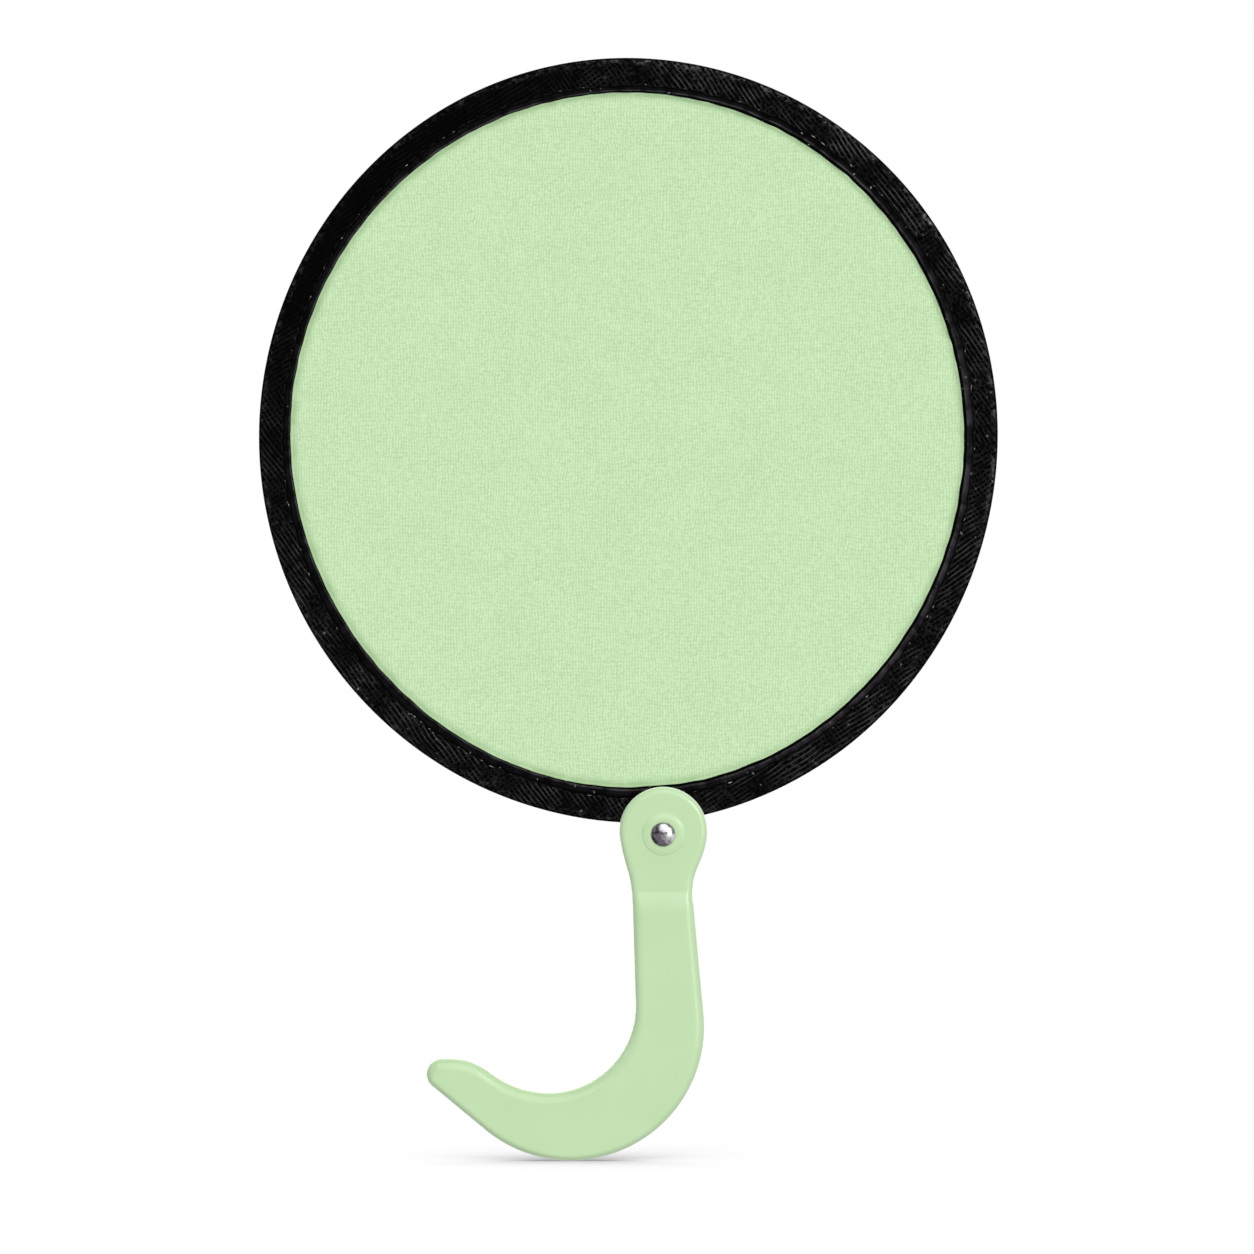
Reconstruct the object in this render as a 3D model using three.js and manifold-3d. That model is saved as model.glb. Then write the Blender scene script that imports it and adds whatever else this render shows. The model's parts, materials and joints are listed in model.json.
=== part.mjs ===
// Collapsible hand fan: a woven disc on a spring-steel hoop, bound with tape, on a hook handle.
// Millimetres, +Z up, the fan's front faces -Y. The origin is the middle of the hand grip.

import * as THREE from 'three';
import { mergeVertices } from 'three/addons/utils/BufferGeometryUtils.js';
import Module from 'manifold-3d';

const wasm = await Module();
wasm.setup();

// Handle: the grip and the lug above it, seen from the front. Reaches are from the rivet's line.
const PIVOT_HEIGHT = 38;          // rivet above the middle of the grip
const LUG_RADIUS = 14.8;
const LUG_RISE = 1;               // lug's centre above the rivet
const LUG_INNER_JOIN = 190;       // degrees on the lug's round where the inner edge meets it
const LUG_OUTER_JOIN = -10;       // degrees on the lug's round where the outer edge leaves it
const WAIST_REACH = 9.6;          // outer edge at its narrowest
const WAIST_DROP = 20.9;          // narrowest place below the rivet
const WAIST_RUN = 3.1;            // from there down to the straight edges of the grip
const GRIP_INNER_REACH = 9.3;     // inner edge at the bend
const GRIP_OUTER_REACH = 13.6;    // outer edge at the bend
const INNER_LEAN = 1.7;           // degrees that the inner edge leans
const OUTER_LEAN = 5.3;           // degrees that the outer edge leans
const EDGE_PULL = 0.5;            // reach of a free curve's handles, as a share of its span

// Handle: the hook.
const HOOK_INNER_RADIUS = 29;
const HOOK_DROP = 19.2;           // inner bend's centre below the middle of the grip
const HOOK_SWELL = 10.2;          // outer bend's centre from the inner one's
const HOOK_SWELL_ANGLE = -44;     // degrees, the side where the hook is thickest
const HOOK_INNER_END = -99;       // degrees on the inner bend where it runs out to the tip
const HOOK_OUTER_END = -129.6;    // degrees on the outer bend where the straight underside starts
const UNDERSIDE_LENGTH = 22.7;
const TIP_RADIUS = 5.1;
const TIP_END = 94;               // degrees on the tip's round where the upper edge starts

// Handle: depths.
const GRIP_THICKNESS = 5.8;
const LUG_STEP = 1.4;             // lug's face behind the grip's face
const RAMP_DROP = 19.8;           // crease between lug and ramp, below the rivet
const RAMP_LENGTH = 8.5;
const FRONT_FILLET = 2.6;
const REAR_FILLET = 1.1;
const BOSS_RADIUS = 7.2;
const BOSS_HEIGHT = 0.7;
const BOSS_FILLET = 0.5;

// Rivet and washers.
const RIVET_HEAD_RADIUS = 4;
const RIVET_HEAD_HEIGHT = 1.8;
const RIVET_HEAD_RIM = 0.3;       // straight edge under the dome
const RIVET_POST_RADIUS = 1.5;
const RIVET_CAP_GRIP = 1.1;       // length of the post inside the cap
const WASHER_MARGIN = 0.6;        // washer's edge beyond the rivet's head
const REAR_WASHER_THICKNESS = 0.5;

// Disc, from its outer edge inwards.
const RIM_HALF_HEIGHT = 127.2;    // along the line to the rivet
const RIM_HALF_WIDTH = 123.5;
const RIVET_TO_RIM = 1.3;         // edge of the rivet's head to the rim
const FAN_LEAN = 5;               // degrees to the left at rest
const BINDING_WIDTH = 11;
const STITCH_INSET = 8;           // stitch line from the outer edge
const TAPE_THICKNESS = 0.5;
const CASING_FULLNESS = 0.55;     // share of the hoop's bulge left halfway to the stitch line
const PANEL_THICKNESS = 0.3;
const PANEL_TUCK = 7.5;           // width of the panel's edge inside the binding
const HOOP_WIDTH = 2;             // along the rivet
const HOOP_THICKNESS = 0.8;
const HOOP_BUTT_GAP = 0.6;        // between the hoop's two ends
const CLIP_SHEET = 0.5;
const CLIP_WIDTH = 8;

// Clearances.
const SWING_GAP = 0.3;            // handle to disc
const SEAT_GAP = 0.1;             // flat faces held by the rivet
const BORE_CLEARANCE = 0.2;       // round the post
const SEWN_CLEARANCE = 0.3;       // tape to what it wraps, and clip to tape
const CRIMP_CLEARANCE = 0.3;      // clip to hoop

const TRIM_RUN = 30;              // how far trimming shapes run past what they trim

// Facets.
const RIM_SEGMENTS = 96;
const ROUND_SEGMENTS = 32;
const CURVE_STEPS = 10;
const FILLET_STEPS = 4;
const DOME_STEPS = 6;
const FOLD_STEPS = 2;
const MERGE_DISTANCE = 0.0001;    // corners closer than this are one

// Depths along Y that follow from the sizes above.
const GRIP_FRONT = -GRIP_THICKNESS / 2;
const HANDLE_REAR = GRIP_THICKNESS / 2;
const LUG_FRONT = GRIP_FRONT + LUG_STEP;
const BOSS_FRONT = LUG_FRONT - BOSS_HEIGHT;
const HOOP_WRAP = SEWN_CLEARANCE + TAPE_THICKNESS;
const RIM_HALF_DEPTH = HOOP_WIDTH / 2 + HOOP_WRAP;
const SEAM_HALF_DEPTH = PANEL_THICKNESS / 2 + HOOP_WRAP;
const FAN_PLANE = HANDLE_REAR + SWING_GAP + RIM_HALF_DEPTH;
const REAR_WASHER_FRONT = FAN_PLANE + CLIP_SHEET + SWING_GAP;
const REAR_WASHER_BACK = REAR_WASHER_FRONT + REAR_WASHER_THICKNESS;
const CAP_FRONT = REAR_WASHER_BACK + SEAT_GAP;

// Radii that follow from the sizes above, and distances from the rivet's axis into the disc.
const BORE_RADIUS = RIVET_POST_RADIUS + BORE_CLEARANCE;
const WASHER_RADIUS = RIVET_HEAD_RADIUS + WASHER_MARGIN;
const RIM_START = RIVET_HEAD_RADIUS + RIVET_TO_RIM;
const HOOP_START = RIM_START + HOOP_WRAP;
const HOOP_END = HOOP_START + HOOP_THICKNESS;
const CLIP_END = HOOP_END + CRIMP_CLEARANCE + CLIP_SHEET;
const PANEL_INSET = BINDING_WIDTH - PANEL_TUCK;

const FINISHES = {
  mintPlastic: { color: 0xc4e1b3, roughness: 0.35, metalness: 0 },
  mintCloth: { color: 0xc7e4b6, roughness: 0.85, metalness: 0 },
  blackTape: { color: 0x121214, roughness: 0.8, metalness: 0 },
  polishedSteel: { color: 0xc4c4c8, roughness: 0.15, metalness: 1 },
  platedSteel: { color: 0x9a9ea1, roughness: 0.35, metalness: 1 },
  springSteel: { color: 0x83878b, roughness: 0.4, metalness: 1 },
  nylon: { color: 0xe9e7df, roughness: 0.5, metalness: 0 },
};

function radians(degrees) {
  return THREE.MathUtils.degToRad(degrees);
}

// Unit vector in the front view, by its angle in degrees from +X towards +Z.
function heading(degrees) {
  return new THREE.Vector2(Math.cos(radians(degrees)), Math.sin(radians(degrees)));
}

function along(start, direction, distance) {
  return start.clone().addScaledVector(direction, distance);
}

// Closed mesh to solid: shared corners are merged and triangles without area are dropped.
function solid(geometry) {
  const bare = geometry.clone();
  bare.deleteAttribute('normal');
  bare.deleteAttribute('uv');
  const merged = mergeVertices(bare, MERGE_DISTANCE);
  const corners = merged.index.array;
  const triangles = [];
  for (let i = 0; i < corners.length; i += 3) {
    const [a, b, c] = corners.slice(i, i + 3);
    if (a !== b && b !== c && c !== a) {
      triangles.push(a, b, c);
    }
  }
  const vertProperties = new Float32Array(merged.attributes.position.array);
  const triVerts = new Uint32Array(triangles);
  return new wasm.Manifold(new wasm.Mesh({ numProp: 3, vertProperties, triVerts }));
}

function geometryOf(body) {
  const mesh = body.getMesh();
  const geometry = new THREE.BufferGeometry();
  geometry.setAttribute('position', new THREE.BufferAttribute(mesh.vertProperties, 3));
  geometry.setIndex(new THREE.BufferAttribute(mesh.triVerts, 1));
  const flat = geometry.toNonIndexed();
  flat.computeVertexNormals();
  return flat;
}

// Turned piece round the Y axis. The profile holds [radius, depth] pairs, the outer side towards +Y.
function turned(profile, segments = ROUND_SEGMENTS, start = 0) {
  const points = profile.map(([radius, depth]) => new THREE.Vector2(radius, depth));
  return new THREE.LatheGeometry(points, segments, start);
}

function turnedRing(inner, outer, front, back) {
  return turned([[inner, front], [outer, front], [outer, back], [inner, back], [inner, front]]);
}

// Quarter turn of a fillet or corner, as [radius, depth] pairs from one angle to another.
function cornerArc(radius, depth, size, from, to, steps) {
  const points = [];
  for (let i = 0; i <= steps; i += 1) {
    const direction = heading(from + (to - from) * i / steps);
    points.push([radius + size * direction.x, depth + size * direction.y]);
  }
  return points;
}

// Free curve from the outline's last point to another, leaving and arriving in the given directions.
function sweepTo(outline, end, leaving, arriving) {
  const start = outline.currentPoint;
  const pull = EDGE_PULL * start.distanceTo(end);
  const first = along(start, leaving, pull);
  const second = along(end, arriving, -pull);
  outline.bezierCurveTo(first.x, first.y, second.x, second.y, end.x, end.y);
}

function arcOn(outline, centre, radius, from, to, clockwise) {
  outline.absarc(centre.x, centre.y, radius, radians(from), radians(to), clockwise);
}

// Front view of the handle, clockwise from the inner side of the lug.
function handleOutline() {
  const down = heading(-90);
  const lug = new THREE.Vector2(0, PIVOT_HEIGHT + LUG_RISE);
  const waist = new THREE.Vector2(WAIST_REACH, PIVOT_HEIGHT - WAIST_DROP);
  const gripTop = waist.y - WAIST_RUN;
  const innerBend = new THREE.Vector2(-GRIP_INNER_REACH - HOOK_INNER_RADIUS, -HOOK_DROP);
  const outerBend = along(innerBend, heading(HOOK_SWELL_ANGLE), HOOK_SWELL);
  const outerRadius = GRIP_OUTER_REACH - outerBend.x;

  const outerUp = heading(OUTER_LEAN + 90);
  const outerStart = along(outerBend, heading(OUTER_LEAN), outerRadius);
  const outerTop = along(outerStart, outerUp, (gripTop - outerStart.y) / outerUp.y);
  const undersideStart = along(outerBend, heading(HOOK_OUTER_END), outerRadius);
  const undersideEnd = along(undersideStart, heading(HOOK_OUTER_END - 90), UNDERSIDE_LENGTH);
  const tip = along(undersideEnd, heading(HOOK_OUTER_END), -TIP_RADIUS);
  const upperEnd = along(innerBend, heading(HOOK_INNER_END), HOOK_INNER_RADIUS);
  const innerUp = heading(INNER_LEAN + 90);
  const innerEnd = along(innerBend, heading(INNER_LEAN), HOOK_INNER_RADIUS);
  const innerTop = along(innerEnd, innerUp, (gripTop - innerEnd.y) / innerUp.y);
  const lugJoin = along(lug, heading(LUG_INNER_JOIN), LUG_RADIUS);

  const outline = new THREE.Shape();
  arcOn(outline, lug, LUG_RADIUS, LUG_INNER_JOIN, LUG_OUTER_JOIN, true);
  sweepTo(outline, waist, heading(LUG_OUTER_JOIN - 90), down);
  sweepTo(outline, outerTop, down, heading(OUTER_LEAN - 90));
  outline.lineTo(outerStart.x, outerStart.y);
  arcOn(outline, outerBend, outerRadius, OUTER_LEAN, HOOK_OUTER_END, true);
  outline.lineTo(undersideEnd.x, undersideEnd.y);
  arcOn(outline, tip, TIP_RADIUS, HOOK_OUTER_END + 360, TIP_END, true);
  sweepTo(outline, upperEnd, heading(TIP_END - 90), heading(HOOK_INNER_END + 90));
  arcOn(outline, innerBend, HOOK_INNER_RADIUS, HOOK_INNER_END, INNER_LEAN, false);
  outline.lineTo(innerTop.x, innerTop.y);
  sweepTo(outline, lugJoin, innerUp, heading(LUG_INNER_JOIN - 90));
  return outline;
}

// Plate of the given outline between two depths, with round edges on both faces.
function plate(outline, front, rear, fillet) {
  const geometry = new THREE.ExtrudeGeometry(outline, {
    depth: rear - front - 2 * fillet,
    curveSegments: CURVE_STEPS,
    bevelThickness: fillet,
    bevelSize: fillet,
    bevelOffset: -fillet,
    bevelSegments: FILLET_STEPS,
  });
  geometry.rotateX(Math.PI / 2);
  geometry.translate(0, rear - fillet, 0);
  return geometry;
}

// Hole for the rivet's post, round the Y axis.
function rivetBore() {
  return new THREE.CylinderGeometry(BORE_RADIUS, BORE_RADIUS, 2 * TRIM_RUN, ROUND_SEGMENTS);
}

// One moulding: the lug's face steps back from the grip's face by a ramp, and the back is flat.
// The front is shaped on plates that run on behind the handle, and a plate that runs on in front trims them.
function handleGeometry() {
  const outline = handleOutline();
  const slope = LUG_STEP / RAMP_LENGTH;
  const farBehind = HANDLE_REAR + TRIM_RUN;
  const farAhead = GRIP_FRONT - TRIM_RUN;
  const lugFace = solid(plate(outline, LUG_FRONT, farBehind, FRONT_FILLET));
  const gripFace = solid(plate(outline, GRIP_FRONT, farBehind, FRONT_FILLET));
  const rampPlate = plate(outline, LUG_FRONT, farBehind, FRONT_FILLET);
  rampPlate.applyMatrix4(new THREE.Matrix4().makeShear(0, 0, 0, 0, 0, slope));
  rampPlate.translate(0, -slope * (PIVOT_HEIGHT - RAMP_DROP), 0);
  const back = solid(plate(outline, farAhead, HANDLE_REAR, REAR_FILLET));
  const moulding = lugFace.add(solid(rampPlate).intersect(gripFace)).intersect(back);

  const bossTop = BOSS_RADIUS - BOSS_FILLET;
  const bossEdge = cornerArc(bossTop, BOSS_FRONT + BOSS_FILLET, BOSS_FILLET, -90, 0, FILLET_STEPS);
  const bossRoot = (LUG_FRONT + HANDLE_REAR) / 2;
  const boss = turned([[0, BOSS_FRONT], ...bossEdge, [BOSS_RADIUS, bossRoot], [0, bossRoot]]);
  boss.translate(0, 0, PIVOT_HEIGHT);
  const bore = rivetBore();
  bore.translate(0, 0, PIVOT_HEIGHT);
  return geometryOf(moulding.add(solid(boss)).subtract(solid(bore)));
}

// Dome of the rivet's head, as [radius, depth] pairs from the axis to the edge.
// Its straight edge ends at the seat, and the dome rises from there in the given direction.
function domeProfile(seat, direction) {
  const rise = RIVET_HEAD_HEIGHT - RIVET_HEAD_RIM;
  const sphere = (RIVET_HEAD_RADIUS ** 2 + rise ** 2) / (2 * rise);
  const opening = Math.asin(RIVET_HEAD_RADIUS / sphere);
  const points = [];
  for (let i = 0; i <= DOME_STEPS; i += 1) {
    const angle = opening * i / DOME_STEPS;
    const drop = sphere * (1 - Math.cos(angle));
    points.push([sphere * Math.sin(angle), seat + direction * (RIVET_HEAD_HEIGHT - drop)]);
  }
  points.push([RIVET_HEAD_RADIUS, seat]);
  return points;
}

function rivetGeometry() {
  const seat = BOSS_FRONT - SEAT_GAP;
  const end = CAP_FRONT + RIVET_CAP_GRIP;
  const post = [[RIVET_POST_RADIUS, seat], [RIVET_POST_RADIUS, end], [0, end]];
  return turned([...domeProfile(seat, -1), ...post]);
}

// Rear cap of the rivet: a dome with a blind hole for the end of the post.
function rivetCapGeometry() {
  const holeEnd = CAP_FRONT + RIVET_CAP_GRIP + SEAT_GAP;
  const holeRadius = RIVET_POST_RADIUS + SEAT_GAP;
  const hole = [[0, holeEnd], [holeRadius, holeEnd], [holeRadius, CAP_FRONT]];
  return turned([...hole, ...domeProfile(CAP_FRONT, 1).reverse()]);
}

// Closed ring of the disc, from a profile of [distance from the outer edge, depth] pairs.
// A flat of the ring faces the rivet.
function rimRing(profile) {
  const points = profile.map(([inset, depth]) => [RIM_HALF_HEIGHT - inset, depth]);
  const geometry = turned(points, RIM_SEGMENTS, Math.PI / RIM_SEGMENTS);
  geometry.scale(RIM_HALF_WIDTH / RIM_HALF_HEIGHT, 1, 1);
  return geometry;
}

function panelGeometry() {
  const half = PANEL_THICKNESS / 2;
  const centre = RIM_HALF_HEIGHT;
  return rimRing([[centre, -half], [PANEL_INSET, -half], [PANEL_INSET, half], [centre, half]]);
}

// Box across the rim at the rivet, in the disc's frame, from outside the rim to the given inset.
function rimCutter(width, inset) {
  const reach = inset + RIVET_TO_RIM;
  const geometry = new THREE.BoxGeometry(width, 2 * TRIM_RUN, reach);
  geometry.translate(0, 0, inset - reach / 2 - RIM_HALF_HEIGHT);
  return solid(geometry);
}

// Open hoop: its two ends meet inside the clip.
function hoopGeometry() {
  const half = HOOP_WIDTH / 2;
  const outer = HOOP_WRAP;
  const inner = outer + HOOP_THICKNESS;
  const ring = rimRing([[inner, -half], [outer, -half], [outer, half], [inner, half], [inner, -half]]);
  return geometryOf(solid(ring).subtract(rimCutter(HOOP_BUTT_GAP, inner + CRIMP_CLEARANCE)));
}

// Tape folded round the hoop and sewn to the panel: a casing that is drawn in to the stitch line.
// Each half runs from the free inner edge to the fold. The wrap is the distance from the hoop.
function tapeSide(wrap, side) {
  const hoopHalf = HOOP_WIDTH / 2;
  const seamHalf = SEAM_HALF_DEPTH - HOOP_WRAP + wrap;
  const hoopInner = HOOP_WRAP + HOOP_THICKNESS;
  const casingMiddle = (hoopInner + STITCH_INSET) / 2;
  const middleHalf = THREE.MathUtils.lerp(seamHalf, hoopHalf + wrap, CASING_FULLNESS);
  const fold = cornerArc(HOOP_WRAP, hoopHalf, wrap, 90, 180, FOLD_STEPS);
  const half = [[BINDING_WIDTH, seamHalf], [STITCH_INSET, seamHalf], [casingMiddle, middleHalf],
    [hoopInner, hoopHalf + wrap], ...fold];
  return half.map(([inset, depth]) => [inset, side * depth]);
}

function bindingGeometry() {
  const outside = [...tapeSide(HOOP_WRAP, -1), ...tapeSide(HOOP_WRAP, 1).reverse()];
  const inside = [...tapeSide(SEWN_CLEARANCE, 1), ...tapeSide(SEWN_CLEARANCE, -1).reverse()];
  const ring = rimRing([...outside, ...inside, outside[0]]);
  const clipInset = CLIP_END - RIM_START;
  const slot = rimCutter(CLIP_WIDTH + 2 * SEWN_CLEARANCE, clipInset + SEWN_CLEARANCE);
  return geometryOf(solid(ring).subtract(slot));
}

// Sheet-steel strip folded round the hoop's ends, its two leaves pressed together as an ear for the rivet.
// Modelled from the rivet's axis, with the disc's centre towards +Z.
function clipGeometry() {
  const earHalf = CLIP_WIDTH / 2;
  const boxHalf = HOOP_WIDTH / 2 + CRIMP_CLEARANCE;
  const foldHalf = boxHalf + CLIP_SHEET;
  const bendStart = WASHER_RADIUS + SWING_GAP;
  const bendEnd = HOOP_START - CRIMP_CLEARANCE;
  const section = new THREE.Shape();
  section.moveTo(-CLIP_SHEET, -TRIM_RUN);
  section.lineTo(CLIP_SHEET, -TRIM_RUN);
  section.lineTo(CLIP_SHEET, bendStart);
  section.lineTo(foldHalf, bendEnd);
  section.lineTo(foldHalf, CLIP_END - CLIP_SHEET);
  section.lineTo(boxHalf, CLIP_END);
  section.lineTo(-boxHalf, CLIP_END);
  section.lineTo(-foldHalf, CLIP_END - CLIP_SHEET);
  section.lineTo(-foldHalf, bendEnd);
  section.lineTo(-CLIP_SHEET, bendStart);
  const tunnel = new THREE.Path();
  tunnel.moveTo(-boxHalf, bendEnd);
  tunnel.lineTo(0, bendStart);
  tunnel.lineTo(boxHalf, bendEnd);
  tunnel.lineTo(boxHalf, HOOP_END + CRIMP_CLEARANCE);
  tunnel.lineTo(-boxHalf, HOOP_END + CRIMP_CLEARANCE);
  section.holes.push(tunnel);
  const strip = new THREE.ExtrudeGeometry(section, { depth: 2 * TRIM_RUN, bevelEnabled: false });
  strip.translate(0, 0, -TRIM_RUN);
  const acrossX = new THREE.Vector3(0, 1, 0);
  const acrossY = new THREE.Vector3(0, 0, 1);
  const acrossZ = new THREE.Vector3(1, 0, 0);
  strip.applyMatrix4(new THREE.Matrix4().makeBasis(acrossX, acrossY, acrossZ));

  const front = new THREE.Shape();
  front.absarc(0, 0, earHalf, Math.PI, 2 * Math.PI, false);
  front.lineTo(earHalf, TRIM_RUN);
  front.lineTo(-earHalf, TRIM_RUN);
  const outline = new THREE.ExtrudeGeometry(front, {
    depth: 2 * TRIM_RUN,
    curveSegments: CURVE_STEPS,
    bevelEnabled: false,
  });
  outline.rotateX(Math.PI / 2);
  outline.translate(0, TRIM_RUN, 0);
  return geometryOf(solid(strip).intersect(solid(outline)).subtract(solid(rivetBore())));
}

function piece(name, geometry, finish) {
  const mesh = new THREE.Mesh(geometry, new THREE.MeshStandardMaterial(finish));
  mesh.name = name;
  return mesh;
}

// Pieces on the rivet, placed on its axis.
function rivetPieces() {
  const spacerFront = HANDLE_REAR + SEAT_GAP;
  const spacerBack = FAN_PLANE - CLIP_SHEET - SWING_GAP;
  const spacer = turnedRing(BORE_RADIUS, WASHER_RADIUS, spacerFront, spacerBack);
  const washer = turnedRing(BORE_RADIUS, WASHER_RADIUS, REAR_WASHER_FRONT, REAR_WASHER_BACK);
  const group = new THREE.Group();
  group.position.z = PIVOT_HEIGHT;
  group.add(
    piece('rivet', rivetGeometry(), FINISHES.polishedSteel),
    piece('rivet_cap', rivetCapGeometry(), FINISHES.polishedSteel),
    piece('spacer_washer', spacer, FINISHES.nylon),
    piece('rear_washer', washer, FINISHES.platedSteel),
  );
  return group;
}

// Disc and clip, turned on the rivet.
function fanPieces() {
  const disc = new THREE.Group();
  disc.position.z = RIM_START + RIM_HALF_HEIGHT;
  disc.add(
    piece('fabric_panel', panelGeometry(), FINISHES.mintCloth),
    piece('edge_binding', bindingGeometry(), FINISHES.blackTape),
    piece('hoop', hoopGeometry(), FINISHES.springSteel),
  );
  const group = new THREE.Group();
  group.position.set(0, FAN_PLANE, PIVOT_HEIGHT);
  group.rotation.y = radians(-FAN_LEAN);
  group.add(disc, piece('hoop_clip', clipGeometry(), FINISHES.platedSteel));
  return group;
}

const handFan = new THREE.Group();
handFan.add(piece('handle', handleGeometry(), FINISHES.mintPlastic), rivetPieces(), fanPieces());

export default handFan;
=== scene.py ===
"""Looks of a collapsible hand fan: a cloth disc, its sewn binding, a moulded hook handle and a rivet.

Metres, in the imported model's frame: +Z up, the front faces -Y, the origin in the middle of the grip.
"""

import json
import math
import random

import bpy
import numpy as np
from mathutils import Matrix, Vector
from mathutils.geometry import delaunay_2d_cdt


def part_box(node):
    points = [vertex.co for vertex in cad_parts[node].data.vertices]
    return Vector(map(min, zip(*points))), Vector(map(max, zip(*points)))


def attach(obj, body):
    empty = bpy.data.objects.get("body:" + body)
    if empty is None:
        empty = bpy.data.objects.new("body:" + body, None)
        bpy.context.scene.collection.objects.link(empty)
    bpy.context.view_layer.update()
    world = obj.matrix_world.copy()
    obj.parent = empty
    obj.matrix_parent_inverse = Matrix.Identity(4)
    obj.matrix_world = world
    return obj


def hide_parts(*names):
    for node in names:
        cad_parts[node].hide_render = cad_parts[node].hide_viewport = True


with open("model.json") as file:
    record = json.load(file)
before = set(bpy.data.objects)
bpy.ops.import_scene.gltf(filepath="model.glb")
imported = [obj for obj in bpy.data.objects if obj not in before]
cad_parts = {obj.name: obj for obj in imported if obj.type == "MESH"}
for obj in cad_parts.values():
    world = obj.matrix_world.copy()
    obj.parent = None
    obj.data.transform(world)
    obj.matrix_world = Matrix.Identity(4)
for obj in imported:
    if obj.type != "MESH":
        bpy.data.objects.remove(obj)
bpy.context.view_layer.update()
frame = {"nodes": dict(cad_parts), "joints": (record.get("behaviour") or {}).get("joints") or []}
scene = bpy.context.scene

MM = 0.001
FULL_TURN = 2 * math.pi

# Places taken from the frame.
PIVOT = Vector(frame["joints"][0]["pos_m"])
RIVET_AXIS = np.array((PIVOT.x, PIVOT.z))
HANDLE_LOW, HANDLE_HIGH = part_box("handle")
PANEL_LOW, PANEL_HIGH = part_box("fabric_panel")
RIVET_LOW, RIVET_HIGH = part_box("rivet")
CAP_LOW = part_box("rivet_cap")[0]
SPACER_LOW, SPACER_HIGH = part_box("spacer_washer")
WASHER_LOW, WASHER_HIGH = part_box("rear_washer")
FAN_PLANE = (PANEL_LOW.y + PANEL_HIGH.y) / 2
GRIP_FRONT = -HANDLE_HIGH.y
HANDLE_REAR = HANDLE_HIGH.y
FLOOR_LEVEL = HANDLE_LOW.z

# Photograph: the picture's scale, and the pixel that the frame's origin falls on.
PHOTO_SIZE = 1254
PHOTO_PIXELS_PER_METRE = 3000
ORIGIN_PIXEL = (663.3, 948.0)
CAMERA_DISTANCE = 2.0
CAMERA_CLIP = (0.05, 50)
SENSOR_WIDTH = 36.0

# Handle, seen from the front. Reaches are from the rivet's line.
LUG_RADIUS = 14.7 * MM
LUG_RISE = 1 * MM
LUG_INNER_JOIN = 190
LUG_OUTER_JOIN = -10
WAIST_REACH = 9.6 * MM
WAIST_DROP = 20.9 * MM
WAIST_RUN = 3.1 * MM
GRIP_INNER_REACH = 9.3 * MM
GRIP_OUTER_REACH = 13.6 * MM
INNER_LEAN = 1.7
OUTER_LEAN = 5.3
EDGE_PULL = 0.5
HOOK_INNER_RADIUS = 29 * MM
HOOK_DROP = 19.2 * MM
HOOK_SWELL = 10.2 * MM
HOOK_SWELL_ANGLE = -44
HOOK_INNER_END = -99
HOOK_OUTER_END = -129.6
UNDERSIDE_LENGTH = 23.1 * MM
TIP_RADIUS = 5.1 * MM
TIP_END = 94

# Handle, depths.
LUG_STEP = 1.4 * MM
RAMP_DROP = 19.3 * MM
RAMP_LENGTH = 9.5 * MM
CREASE_ROUND = 0.3 * MM
LUG_FILLET = (2.5 * MM, 2.1 * MM)  # reach over the face, and depth
GRIP_FILLET = (3.4 * MM, 2.9 * MM)
HOOK_FILLET = (4.2 * MM, 3.3 * MM)
HOOK_FILLET_START = -18 * MM
HOOK_FILLET_END = -40 * MM
UNDERSIDE_SHARE = 0.55  # how far the fillet reaches on the hook's outer side
REAR_FILLET = 1.1 * MM
BOSS_INNER_RADIUS = 3.36 * MM  # ring of points between the bore and the boss's edge
BOSS_TOP_RADIUS = 4.8 * MM
BOSS_EDGE_RADIUS = 6.95 * MM
BOSS_FOOT_RADIUS = 7.3 * MM
BOSS_HEIGHT = 0.7 * MM
BOSS_EDGE_HEIGHT = 0.2 * MM
BORE_RADIUS = 1.7 * MM
CREASE_LEVEL = PIVOT.z - RAMP_DROP

# Handle, fineness of its mesh.
OUTLINE_STEP = 0.5 * MM
FACE_STEP = 1.6 * MM
RAMP_ROWS = 40
FRONT_RINGS = 11
REAR_RINGS = 7
BORE_STEPS = 48
BOSS_STEPS = 90
SHOULDER_RINGS = 12
FOOT_RINGS = 6

# Rivet and washers.
RIVET_HEAD_RADIUS = RIVET_HIGH.x
RIVET_HEAD_HEIGHT = 1.8 * MM
RIVET_HEAD_RIM = 0.3 * MM
RIVET_POST_RADIUS = 1.5 * MM
RIVET_CAP_GRIP = 1.1 * MM
SEAT_GAP = 0.1 * MM
WASHER_RADIUS = WASHER_HIGH.x
EDGE_BREAK = 0.12 * MM

# Disc, from its outer edge inwards.
RIM_HALF_HEIGHT = 127.2 * MM
RIM_HALF_WIDTH = 123.5 * MM
RIVET_TO_RIM = 5.3 * MM
FAN_LEAN = math.radians(5)
BINDING_WIDTH = 11.4 * MM
STITCH_INSET = 8 * MM
PANEL_INSET = 3.5 * MM
PANEL_TUCK = 1 * MM  # flat strip of cloth under the tape's edge
CLOTH_THICKNESS = 0.24 * MM
CLOTH_CLEARANCE = 0.06 * MM
TAPE_THICKNESS = 0.45 * MM
HOOP_INSET = 0.8 * MM
HOOP_THICKNESS = 0.8 * MM
HOOP_HALF_WIDTH = 1 * MM
HOOP_GAP = 0.6 * MM
CLIP_SLOT_WIDTH = 8.6 * MM
CLIP_SLOT_DEPTH = 3.2 * MM

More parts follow.
